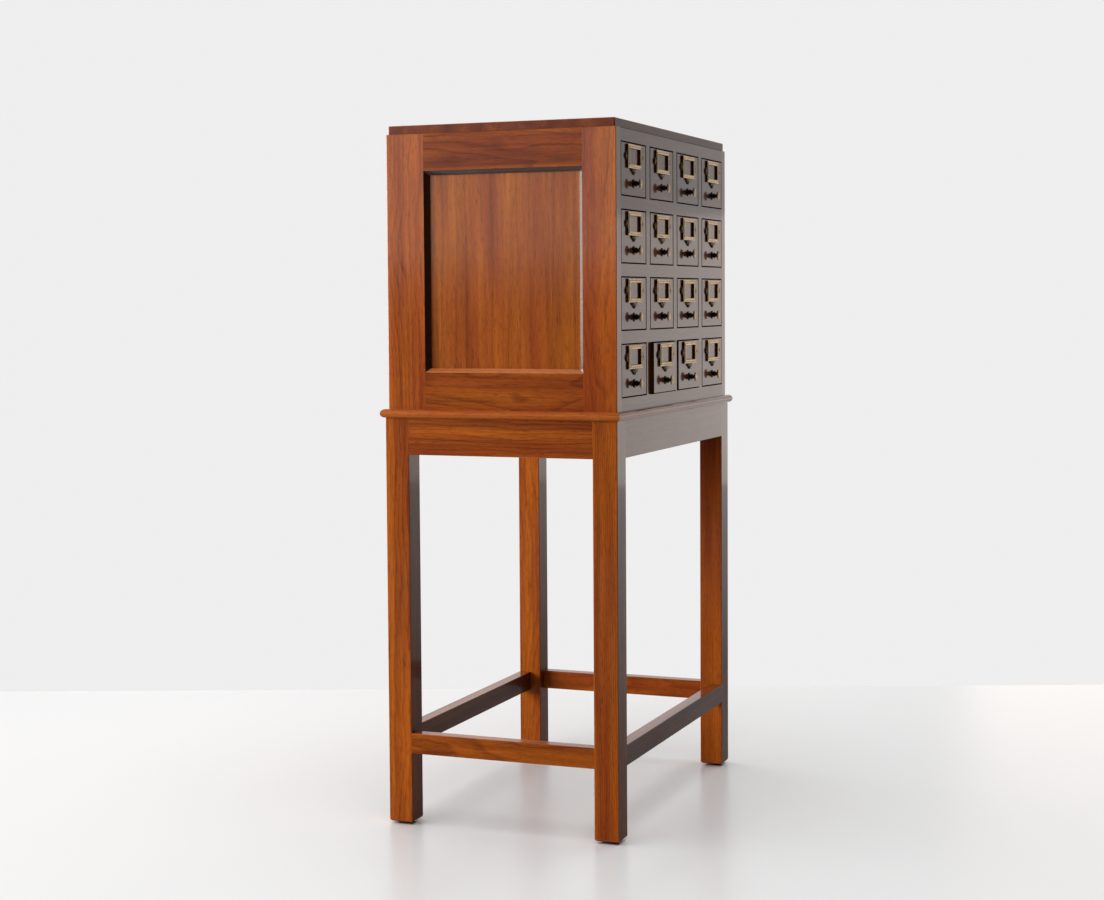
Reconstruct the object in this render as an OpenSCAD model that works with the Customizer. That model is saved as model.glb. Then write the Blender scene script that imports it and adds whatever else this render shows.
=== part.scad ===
// Drawer cabinet on an open stand: sixteen small drawers in a frame-and-panel
// case, each with a brass label frame and a turned brass knob.
// +Z is up and the drawers open towards -Y. The origin is on the floor, under
// the middle of the whole outline, knobs and moulding included. Sizes are in
// millimetres.

/* [Case] */
// Width of the case
case_w = 672; // [668:1:760]
// Depth of the case
case_d = 450; // [445:1:520]
// Height of the case, without its top board
case_h = 506; // [500:1:580]
// Thickness of the top board
top_t = 16; // [12:0.5:24]
// How far the top board stands in from the case all round
top_inset = 3; // [0:0.5:10]
// Width of the front stile of each side
side_front_stile = 64; // [50:1:80]
// Width of the rear stile of each side
side_rear_stile = 75; // [50:1:90]
// Height of the rails of each side
side_rail = 68; // [50:1:90]
// Width and depth of the sloped beads round each side panel
bead_slope = 8; // [4:0.5:9]
// Depth from the side's face to its panel
panel_depth = 11; // [10:0.5:13]
// Thickness of the side panels
panel_t = 8; // [5:0.5:9]

/* [Drawers] */
// Width of each drawer opening
opening_w = 138; // [128:0.5:139]
// Height of each drawer opening
opening_h = 98; // [88:0.5:100]
// Width of the uprights between the openings
divider_w = 23.5; // [16:0.5:24]
// Height of the rails between the rows
mid_rail = 22.5; // [14:0.5:24]
// Depth of the rails and uprights, front to back
front_frame_t = 22; // [18:1:26]
// Gap round each drawer front
front_gap = 0.7; // [0.4:0.1:1.5]
// Thickness of each drawer front
front_t = 18; // [14:1:22]
// Length of a drawer, with its front
drawer_l = 410; // [300:1:410]
// Height of the sides of a drawer
drawer_side_h = 82; // [60:1:84]
// Thickness of the sides and the back of a drawer
drawer_side_t = 6; // [5:0.5:9]
// How far the second drawer of the bottom row stands out at rest
proud_r4c2 = 6; // [0:0.5:40]
// How far the third drawer of the bottom row stands out at rest
proud_r4c3 = 2; // [0:0.5:40]

/* [Stand] */
// Width of the stand over its legs
stand_w = 690; // [684:1:800]
// Depth of the stand over its legs
stand_d = 456; // [450:1:560]
// Height of the stand, with its moulding and glides
stand_h = 778; // [600:1:900]
// Thickness of the square legs
leg = 47; // [38:0.5:60]
// Chamfer at the foot of each leg
foot_chamfer = 3; // [1:0.5:6]
// Height of the aprons
apron_h = 68; // [40:1:110]
// Thickness of the aprons
apron_t = 24; // [16:1:34]
// Height of the underside of the stretchers
stretcher_z = 135.5; // [60:0.5:300]
// Height of the stretchers' section
stretcher_h = 38; // [25:0.5:60]
// Thickness of the stretchers
stretcher_t = 25; // [16:0.5:36]
// Height of the half-round moulding under the case
moulding_h = 16; // [12:0.5:24]
// Width of the boards that carry the moulding
moulding_w = 60; // [45:1:90]
// Thickness of the glides under the legs
glide_h = 4; // [2:0.5:8]
// Diameter of the glides
glide_d = 30; // [20:1:36]

/* [Brass fittings] */
// Width of a label frame, without its ears
label_w = 77; // [60:0.5:90]
// Height of a label frame, without its lower ear
label_h = 43; // [34:0.5:44]
// Thickness of a label frame
label_t = 3.8; // [2.5:0.1:5]
// Width of the window in a label frame
window_w = 57; // [40:0.5:58]
// Height of the window in a label frame
window_h = 28.5; // [18:0.5:30]
// Height of the middle of a label frame above its opening's lower edge
label_z = 72.5; // [70:0.5:74]
// Diameter of a knob's head
knob_d = 18.5; // [15:0.5:24]
// Height of a knob's middle above its opening's lower edge
knob_z = 24.5; // [22:0.5:28]

/* [Hidden] */
ROWS = 4;
COLS = 4;
$fn = 48;

// A hairline between pieces that are glued or screwed together.
joint = 0.1;

leg_h = stand_h - moulding_h - glide_h;
moulding_z = stand_h - moulding_h;
nose_r = moulding_h / 2;
apron_z = moulding_z - apron_h;

case_z = stand_h;
end_rail = (case_h - ROWS * opening_h - (ROWS - 1) * mid_rail) / 2;
side_t = (case_w - COLS * opening_w - (COLS - 1) * divider_w) / 2;
inner_w = case_w - 2 * side_t - 2 * joint;

// The outline reaches from the knobs of the drawers that stand out to the
// moulding at the back, and the middle of the case lies a little behind its middle.
knob_out = 15.3;
front_reach = max(case_d / 2 + max(proud_r4c2, proud_r4c3) + knob_out, stand_d / 2 + nose_r);
rear_reach = stand_d / 2 + nose_r;
mid_y = (front_reach - rear_reach) / 2;
case_front = mid_y - case_d / 2;
case_rear = mid_y + case_d / 2;

// How far a side panel reaches into the grooves of its frame, and its play there.
tongue = 6;
tongue_play = 0.3;

// The opening of a side frame.
side_y0 = case_front + side_front_stile;
side_y1 = case_rear - side_rear_stile;
side_z0 = case_z + side_rail;
side_z1 = case_z + case_h - side_rail;

// The back: a frame outside, with one thin sheet behind it.
back_frame_t = 16;
back_sheet_t = 5;
back_rail_h = 60;
back_sheet_y = case_rear - back_frame_t - back_sheet_t;

shelf_t = 12;
shelf_y = case_front + front_frame_t + joint;
shelf_l = back_sheet_y - joint - shelf_y;

guide_h = 10;
guide_l = shelf_l - 20;

// Pieces of a drawer, measured from the middle of its opening's lower edge.
front_w = opening_w - 2 * front_gap;
front_h = opening_h - 2 * front_gap;
box_w = opening_w - 2;
box_foot = 0.5;
bottom_t = 5;
bottom_lift = 3;
stop_w = 60;
stop_h = 12;
stop_gap = 0.5;

// The ears of a label frame and their screws.
ear_r = 8;
ear_t = 2.4;
ear_out = 2;
ear_screw_out = 5.2;
pendant_w = 34;
pendant_h = 11.5;
pendant_screw_down = 6.6;
screw_r = 2.3;
screw_h = 1.2;
screw_seat = 0.05;

// The slot for the card behind a label frame.
label_slot_t = 1;
label_slot_w = 67;

teak = [0.50, 0.23, 0.12];
teak_panel = [0.58, 0.29, 0.15];
plain_teak = [0.62, 0.42, 0.27];
brass = [0.80, 0.64, 0.34];
dark_rubber = [0.10, 0.09, 0.08];

// Lower edge of a row's openings; row 1 is the top one.
function row_z(row) = case_z + end_rail + (ROWS - row) * (opening_h + mid_rail);

// Middle of a column's openings; column 1 is on the -X side.
function col_x(col) = (col - (COLS + 1) / 2) * (opening_w + divider_w);

// How far a drawer stands out of the case at rest.
function proud(row, col) =
    row == 4 && col == 2 ? proud_r4c2 :
    row == 4 && col == 3 ? proud_r4c3 : 0;

// Half of the lower ear's width at a share t of its height.
function pendant_half(t) = pendant_w / 2 * (1 - pow(t, 1.5));

// A block given by its low corner and its high corner.
module block(low, high) {
    translate(low)
        cube(high - low);
}

// ---- Stand ----

// A leg's outline in one view, with the chamfer at its foot.
module leg_outline() {
    polygon([
        [foot_chamfer, 0], [leg - foot_chamfer, 0],
        [leg, foot_chamfer], [leg, leg_h],
        [0, leg_h], [0, foot_chamfer]
    ]);
}

module leg_post(side, end) {
    color(teak)
        translate([(side * (stand_w - leg) - leg) / 2, mid_y + (end * (stand_d - leg) - leg) / 2, glide_h])
            intersection() {
                translate([0, leg, 0])
                    rotate([90, 0, 0])
                        linear_extrude(leg)
                            leg_outline();
                rotate([90, 0, 90])
                    linear_extrude(leg)
                        leg_outline();
            }
}

module apron_long(end) {
    half_l = stand_w / 2 - leg - joint;
    outer = mid_y + end * stand_d / 2;
    inner = outer - end * apron_t;
    color(teak)
        block([-half_l, min(outer, inner), apron_z], [half_l, max(outer, inner), moulding_z]);
}

module apron_short(side) {
    half_l = stand_d / 2 - leg - joint;
    outer = side * stand_w / 2;
    inner = outer - side * apron_t;
    color(teak)
        block([min(outer, inner), mid_y - half_l, apron_z],
              [max(outer, inner), mid_y + half_l, moulding_z]);
}

module stretcher_long(end) {
    half_l = stand_w / 2 - leg - joint;
    outer = mid_y + end * stand_d / 2;
    inner = outer - end * stretcher_t;
    color(teak)
        block([-half_l, min(outer, inner), stretcher_z],
              [half_l, max(outer, inner), stretcher_z + stretcher_h]);
}

module stretcher_short(side) {
    half_l = stand_d / 2 - leg - joint;
    outer = side * stand_w / 2;
    inner = outer - side * stretcher_t;
    color(teak)
        block([min(outer, inner), mid_y - half_l, stretcher_z],
              [max(outer, inner), mid_y + half_l, stretcher_z + stretcher_h]);
}

module glides() {
    color(dark_rubber)
        for (side = [-1, 1], end = [-1, 1])
            translate([side * (stand_w - leg) / 2, mid_y + end * (stand_d - leg) / 2, 0])
                cylinder(h = glide_h, d = glide_d);
}

// A flat board whose outer edge is a half round.
module moulding_section() {
    translate([nose_r, 0])
        square([moulding_w - nose_r, moulding_h]);
    translate([nose_r, nose_r])
        circle(r = nose_r);
}

// One mitred length along X, with its nose towards -Y.
module moulding_length(span, reach) {
    half = span / 2 - joint;
    intersection() {
        translate([-span / 2, -reach, moulding_z])
            rotate([90, 0, 90])
                linear_extrude(span)
                    moulding_section();
        translate([0, 0, moulding_z - 1])
            linear_extrude(moulding_h + 2)
                polygon([
                    [-half, -reach], [half, -reach],
                    [half - moulding_w, moulding_w - reach],
                    [moulding_w - half, moulding_w - reach]
                ]);
    }
}

module stand_moulding() {
    span_x = stand_w + 2 * nose_r;
    span_y = stand_d + 2 * nose_r;
    color(teak)
        translate([0, mid_y, 0])
            for (turn = [0, 180]) {
                rotate([0, 0, turn])
                    moulding_length(span_x, span_y / 2);
                rotate([0, 0, turn + 90])
                    moulding_length(span_y, span_x / 2);
            }
}

// ---- Case ----

// A side panel, made larger or smaller all round by grow.
module panel_blank(grow) {
    block([panel_depth - case_w / 2, side_y0 - tongue - grow, side_z0 - tongue - grow],
          [panel_depth + panel_t - case_w / 2, side_y1 + tongue + grow, side_z1 + tongue + grow]);
}

// The panel of the -X side, whose edges sit in the grooves of its frame.
module side_panel() {
    color(teak_panel)
        panel_blank(0);
}

// The frame of the -X side: two stiles with two rails between them.
module side_frame() {
    x0 = -case_w / 2;
    x1 = x0 + side_t;
    z_top = case_z + case_h;
    members = [
        [[x0, case_front, case_z], [x1, side_y0, z_top]],
        [[x0, side_y1, case_z], [x1, case_rear, z_top]],
        [[x0, side_y0 + joint, case_z], [x1, side_y1 - joint, side_z0]],
        [[x0, side_y0 + joint, side_z1], [x1, side_y1 - joint, z_top]]
    ];
    color(teak)
        for (m = members)
            difference() {
                block(m[0], m[1]);
                panel_blank(tongue_play);
            }
}

// One mitred bead along X: it starts level with the frame's face, slopes
// down towards the panel and ends in a small step.
module bead_length(span) {
    half = span / 2 - joint;
    intersection() {
        translate([-span / 2, 0, 0])
            rotate([90, 0, 90])
                linear_extrude(span)
                    polygon([
                        [joint, 0], [bead_slope, bead_slope],
                        [bead_slope, panel_depth], [joint, panel_depth]
                    ]);
        translate([0, 0, -1])
            linear_extrude(panel_depth + 2)
                polygon([
                    [-half, 0], [half, 0],
                    [half - bead_slope, bead_slope], [bead_slope - half, bead_slope]
                ]);
    }
}

// The four beads of the -X side, planted in the frame's opening.
module side_beads() {
    wide = side_y1 - side_y0;
    high = side_z1 - side_z0;
    color(teak)
        translate([-case_w / 2, (side_y0 + side_y1) / 2, (side_z0 + side_z1) / 2])
            rotate([90, 0, 90])
                for (turn = [0, 180]) {
                    rotate([0, 0, turn])
                        translate([0, -high / 2, 0])
                            bead_length(wide);
                    rotate([0, 0, turn + 90])
                        translate([0, -wide / 2, 0])
                            bead_length(high);
                }
}

// The right side is the left one mirrored.
module on_right() {
    mirror([1, 0, 0])
        children();
}

// Five rails across the front: above, between and below the rows.
module front_rails() {
    rail_y = case_front + front_frame_t;
    color(teak)
        for (row = [0 : ROWS]) {
            z0 = row == ROWS ? case_z : row_z(row + 1) + opening_h;
            z1 = row == 0 ? case_z + case_h : row_z(row);
            block([-inner_w / 2, case_front, z0], [inner_w / 2, rail_y, z1]);
        }
}

module front_uprights() {
    color(teak)
        for (row = [1 : ROWS], col = [1 : COLS - 1]) {
            x = col_x(col) + (opening_w + divider_w) / 2;
            block([x - divider_w / 2, case_front, row_z(row) + joint],
                  [x + divider_w / 2, case_front + front_frame_t, row_z(row) + opening_h - joint]);
        }
}

// The boards that the drawers run on, level with the tops of the rails.
module shelves() {
    color(plain_teak)
        for (row = [1 : ROWS])
            block([-inner_w / 2, shelf_y, row_z(row) - shelf_t],
                  [inner_w / 2, shelf_y + shelf_l, row_z(row)]);
}

// Strips on the shelves that keep the drawers of a row apart.
module drawer_guides() {
    color(plain_teak)
        for (row = [1 : ROWS], col = [1 : COLS - 1]) {
            x = col_x(col) + (opening_w + divider_w) / 2;
            block([x - divider_w / 2, shelf_y, row_z(row)],
                  [x + divider_w / 2, shelf_y + guide_l, row_z(row) + guide_h]);
        }
}

// A block at the back of each opening, where a closed drawer comes to rest.
module drawer_stops() {
    stop_y = case_front + drawer_l + stop_gap;
    color(plain_teak)
        for (row = [1 : ROWS], col = [1 : COLS])
            block([col_x(col) - stop_w / 2, stop_y, row_z(row)],
                  [col_x(col) + stop_w / 2, shelf_y + shelf_l, row_z(row) + stop_h]);
}

// Two rails and one muntin, flush with the rear edges of the sides.
module back_frame() {
    y0 = case_rear - back_frame_t;
    z_top = case_z + case_h;
    color(teak) {
        for (z0 = [case_z, z_top - back_rail_h])
            block([-inner_w / 2, y0, z0], [inner_w / 2, case_rear, z0 + back_rail_h]);
        block([-back_rail_h / 2, y0, case_z + back_rail_h + joint],
              [back_rail_h / 2, case_rear, z_top - back_rail_h - joint]);
    }
}

// One thin sheet that closes the case in front of the back frame.
module back_sheet() {
    color(teak_panel)
        block([-inner_w / 2, back_sheet_y, case_z],
              [inner_w / 2, back_sheet_y + back_sheet_t, case_z + case_h]);
}

module top_board() {
    z0 = case_z + case_h;
    color(teak)
        block([top_inset - case_w / 2, case_front + top_inset, z0],
              [case_w / 2 - top_inset, case_rear - top_inset, z0 + top_t]);
}

// ---- Drawers ----

// Moves its children from the middle of an opening's lower edge to that opening.
module at_opening(row, col) {
    translate([col_x(col), case_front - proud(row, col), row_z(row)])
        children();
}

// Front, two sides, back and bottom.
module drawer_box(row, col) {
    side_l = drawer_l - front_t - joint;
    inner_half = box_w / 2 - drawer_side_t;
    color(plain_teak)
        at_opening(row, col) {
            block([-front_w / 2, 0, front_gap], [front_w / 2, front_t, front_gap + front_h]);
            for (side = [-1, 1])
                translate([side * (box_w - drawer_side_t) / 2 - drawer_side_t / 2,
                           front_t + joint, box_foot])
                    cube([drawer_side_t, side_l, drawer_side_h]);
            block([joint - inner_half, drawer_l - drawer_side_t, box_foot],
                  [inner_half - joint, drawer_l, box_foot + drawer_side_h]);
            block([joint - inner_half, front_t + joint, box_foot + bottom_lift],
                  [inner_half - joint, drawer_l - drawer_side_t - joint,
                   box_foot + bottom_lift + bottom_t]);
        }
}

// ---- Brass fittings ----

// A knob's outline, as radius and height above the drawer front.
module knob_outline() {
    head_r = knob_d / 2;
    polygon(concat(
        [[0, 0], [6.4, 0], [6.4, 1.4], [4.2, 2.6]],
        // the ball of the stem
        [for (a = [-60 : 20 : 60]) [3.6 + 2.0 * cos(a), 5.4 + 2.2 * sin(a)]],
        [[3.4, 8.2]],
        // the flare under the head
        [for (t = [0.2 : 0.2 : 1]) [3.4 + (head_r - 3.9) * t * t, 8.2 + 4.4 * t]],
        [[head_r, 12.9], [head_r, 13.7]],
        // the domed face
        [for (a = [20 : 10 : 90]) [(head_r - 0.3) * cos(a), knob_out - 1.7 + 1.7 * sin(a)]]
    ));
}

module knob() {
    translate([0, 0, knob_z])
        rotate([90, 0, 0])
            rotate_extrude()
                knob_outline();
}

module label_screw(x, z) {
    translate([x, -ear_t - screw_seat, z])
        rotate([90, 0, 0])
            rotate_extrude()
                polygon(concat([[0, 0], [screw_r, 0]],
                    [for (a = [15 : 15 : 90]) [screw_r * cos(a), screw_h * sin(a)]]));
}

// The lower ear: curved on both sides, down to a small point.
module pendant_outline() {
    steps = 8;
    polygon(concat(
        [for (i = [0 : steps - 1]) [pendant_half(i / steps), -pendant_h * i / steps]],
        [[0.4, -pendant_h], [-0.4, -pendant_h]],
        [for (i = [steps - 1 : -1 : 0]) [-pendant_half(i / steps), -pendant_h * i / steps]]
    ));
}

// A frame round a window, open at the top behind for the card, with three ears.
module label_frame() {
    difference() {
        block([-label_w / 2, -label_t, label_z - label_h / 2],
              [label_w / 2, 0, label_z + label_h / 2]);
        block([-window_w / 2, -label_t - 1, label_z - window_h / 2],
              [window_w / 2, 1, label_z + window_h / 2]);
        block([-label_slot_w / 2, -label_slot_t, label_z - window_h / 2 - 3],
              [label_slot_w / 2, 1, label_z + label_h]);
    }
    difference() {
        rotate([90, 0, 0])
            linear_extrude(ear_t) {
                for (side = [-1, 1])
                    translate([side * (label_w / 2 + ear_out), label_z])
                        circle(r = ear_r);
                translate([0, label_z - label_h / 2])
                    pendant_outline();
            }
        block([-label_w / 2, -label_t, label_z - label_h / 2],
              [label_w / 2, 1, label_z + label_h / 2]);
    }
}

module brass_fittings(row, col) {
    color(brass)
        at_opening(row, col) {
            label_frame();
            for (side = [-1, 1])
                label_screw(side * (label_w / 2 + ear_screw_out), label_z);
            label_screw(0, label_z - label_h / 2 - pendant_screw_down);
            knob();
        }
}

leg_post(-1, -1);  // leg_front_left
leg_post(1, -1);  // leg_front_right
leg_post(-1, 1);  // leg_rear_left
leg_post(1, 1);  // leg_rear_right
apron_long(-1);  // apron_front
apron_long(1);  // apron_rear
apron_short(-1);  // apron_left
apron_short(1);  // apron_right
stretcher_long(-1);  // stretcher_front
stretcher_long(1);  // stretcher_rear
stretcher_short(-1);  // stretcher_left
stretcher_short(1);  // stretcher_right
glides();
stand_moulding();
side_frame();  // side_frame_left
on_right() side_frame();  // side_frame_right
side_beads();  // side_beads_left
on_right() side_beads();  // side_beads_right
side_panel();  // side_panel_left
on_right() side_panel();  // side_panel_right
front_rails();
front_uprights();
shelves();
drawer_guides();
drawer_stops();
back_frame();
back_sheet();
top_board();
drawer_box(1, 1);  // drawer_box_r1c1
drawer_box(1, 2);  // drawer_box_r1c2
drawer_box(1, 3);  // drawer_box_r1c3
drawer_box(1, 4);  // drawer_box_r1c4
drawer_box(2, 1);  // drawer_box_r2c1
drawer_box(2, 2);  // drawer_box_r2c2
drawer_box(2, 3);  // drawer_box_r2c3
drawer_box(2, 4);  // drawer_box_r2c4
drawer_box(3, 1);  // drawer_box_r3c1
drawer_box(3, 2);  // drawer_box_r3c2
drawer_box(3, 3);  // drawer_box_r3c3
drawer_box(3, 4);  // drawer_box_r3c4
drawer_box(4, 1);  // drawer_box_r4c1
drawer_box(4, 2);  // drawer_box_r4c2
drawer_box(4, 3);  // drawer_box_r4c3
drawer_box(4, 4);  // drawer_box_r4c4
brass_fittings(1, 1);  // brass_fittings_r1c1
brass_fittings(1, 2);  // brass_fittings_r1c2
brass_fittings(1, 3);  // brass_fittings_r1c3
brass_fittings(1, 4);  // brass_fittings_r1c4
brass_fittings(2, 1);  // brass_fittings_r2c1
brass_fittings(2, 2);  // brass_fittings_r2c2
brass_fittings(2, 3);  // brass_fittings_r2c3
brass_fittings(2, 4);  // brass_fittings_r2c4
brass_fittings(3, 1);  // brass_fittings_r3c1
brass_fittings(3, 2);  // brass_fittings_r3c2
brass_fittings(3, 3);  // brass_fittings_r3c3
brass_fittings(3, 4);  // brass_fittings_r3c4
brass_fittings(4, 1);  // brass_fittings_r4c1
brass_fittings(4, 2);  // brass_fittings_r4c2
brass_fittings(4, 3);  // brass_fittings_r4c3
brass_fittings(4, 4);  // brass_fittings_r4c4
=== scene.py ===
import math
import random

import bmesh
import bpy
from mathutils import Matrix, Vector
from mathutils.bvhtree import BVHTree


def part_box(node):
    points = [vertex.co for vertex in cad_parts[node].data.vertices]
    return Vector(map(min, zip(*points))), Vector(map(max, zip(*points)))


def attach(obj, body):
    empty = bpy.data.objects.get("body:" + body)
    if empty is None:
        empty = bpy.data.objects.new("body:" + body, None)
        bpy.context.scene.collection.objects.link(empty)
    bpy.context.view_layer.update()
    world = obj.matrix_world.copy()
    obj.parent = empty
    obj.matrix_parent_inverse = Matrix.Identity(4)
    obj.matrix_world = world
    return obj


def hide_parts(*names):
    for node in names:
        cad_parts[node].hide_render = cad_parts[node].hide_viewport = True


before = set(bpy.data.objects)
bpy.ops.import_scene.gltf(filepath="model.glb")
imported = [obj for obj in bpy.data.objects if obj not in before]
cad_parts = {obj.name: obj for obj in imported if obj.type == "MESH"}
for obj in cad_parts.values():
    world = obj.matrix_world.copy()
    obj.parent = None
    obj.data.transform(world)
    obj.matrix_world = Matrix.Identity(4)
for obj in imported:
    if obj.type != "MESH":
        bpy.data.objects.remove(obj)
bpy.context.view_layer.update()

ROWS = 4
COLUMNS = 4
MM = 0.001
UP = 2
TINY = 1e-7
CABINET = "cabinet"

# How far the edges of each kind of piece are eased.
LEG_EASE = 1.6 * MM
RAIL_EASE = 1.0 * MM
MOULDING_EASE = 0.4 * MM
CASE_EASE = 1.2 * MM
THIN_EASE = 0.3 * MM
FRONT_RAIL_EASE = 0.9 * MM
UPRIGHT_EASE = 1.5 * MM
TOP_EASE = 2.0 * MM
BACK_EASE = 0.8 * MM
DRAWER_EASE = 1.9 * MM
INSIDE_EASE = 0.5 * MM
PAD_EASE = 1.0 * MM

# Boards nearer to each other than the hairline are butted; points nearer than MERGE are one.
HAIRLINE = 0.3 * MM
MERGE = 0.01 * MM
FLAT_ANGLE = math.radians(1.0)
SHARP_ANGLE = math.radians(30.0)
SMOOTH_ANGLE = math.radians(35.0)

# How often each figure of the grain repeats in a metre along, across and through a board.
RING_WAVES = (2.0, 8.0, 8.0)
STREAKS = (1.3, 48.0, 48.0)
MOTTLE = (1.8, 17.0, 17.0)
FIBRES = (9.0, 420.0, 420.0)
PORES = (60.0, 900.0, 900.0)
PATCHES = (1.9, 26.0, 26.0)
SMEARS = (5.0, 14.0, 14.0)

# The tint of the golden patches and of the redder ones.
GOLDEN, REDDER = (1.26, 1.42, 1.05), (0.78, 0.62, 0.85)

# The polish is thin up to the first height, where this much is left, and full from the second.
THIN_POLISH = 0.14
THIN_UP_TO, FULL_FROM = 0.22, 0.68


# ---------------------------------------------------------------- shader tools


def new_material(name):
    """An empty node material with its output, ready to be filled."""
    material = bpy.data.materials.new(name)
    material.use_nodes = True
    tree = material.node_tree
    tree.nodes.clear()
    return material, tree


def add(tree, kind, inputs=(), **settings):
    """One node: inputs maps a socket's name or number to a value or another socket."""
    node = tree.nodes.new(kind)
    for key, value in settings.items():
        setattr(node, key, value)
    for key, value in dict(inputs).items():
        if isinstance(value, bpy.types.NodeSocket):
            tree.links.new(value, node.inputs[key])
        else:
            node.inputs[key].default_value = value
    return node


def maths(tree, operation, a, b=0.0, clamp=False):
    node = add(tree, "ShaderNodeMath", {0: a, 1: b}, operation=operation, use_clamp=clamp)
    return node.outputs[0]


def scaled(tree, vector, factors):
    node = add(tree, "ShaderNodeVectorMath", {0: vector, 1: factors}, operation="MULTIPLY")
    return node.outputs[0]


def noise(tree, vector, scale, detail=2.0, roughness=0.5):
    node = add(
        tree,
        "ShaderNodeTexNoise",
        {"Vector": vector, "Scale": scale, "Detail": detail, "Roughness": roughness},
    )
    return node.outputs["Fac"]


def ramp(tree, value, stops, interpolation="LINEAR"):
    """A colour ramp given as (position, colour) stops, where a number is a grey."""
    node = add(tree, "ShaderNodeValToRGB", {0: value})
    node.color_ramp.interpolation = interpolation
    elements = node.color_ramp.elements
    while len(elements) < len(stops):
        elements.new(0.5)
    for element, (position, colour) in zip(elements, stops):
        element.position = position
        grey = isinstance(colour, (int, float))
        element.color = (colour, colour, colour, 1.0) if grey else (*colour, 1.0)
    return node.outputs["Color"]


def blend(tree, factor, a, b, mode="MIX"):
    node = add(tree, "ShaderNodeMix", data_type="RGBA", blend_type=mode)
    for socket, value in ((0, factor), (6, a), (7, b)):
        if isinstance(value, bpy.types.NodeSocket):
            tree.links.new(value, node.inputs[socket])
        else:
            node.inputs[socket].default_value = value if socket == 0 else (*value, 1.0)
    return node.outputs[2]


def attribute(tree, name, output="Fac"):
    return add(tree, "ShaderNodeAttribute", attribute_name=name).outputs[output]


def bumped(tree, height, strength, distance):
    node = add(
        tree, "ShaderNodeBump", {"Strength": strength, "Distance": distance, "Height": height}
    )
    return node.outputs[0]


def set_surface(tree, shader_kind, inputs):
    """Gives the material its one shader."""
    shader = add(tree, shader_kind, inputs)
    add(tree, "ShaderNodeOutputMaterial", {"Surface": shader.outputs[0]})


# ---------------------------------------------------------------- the finishes


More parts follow.
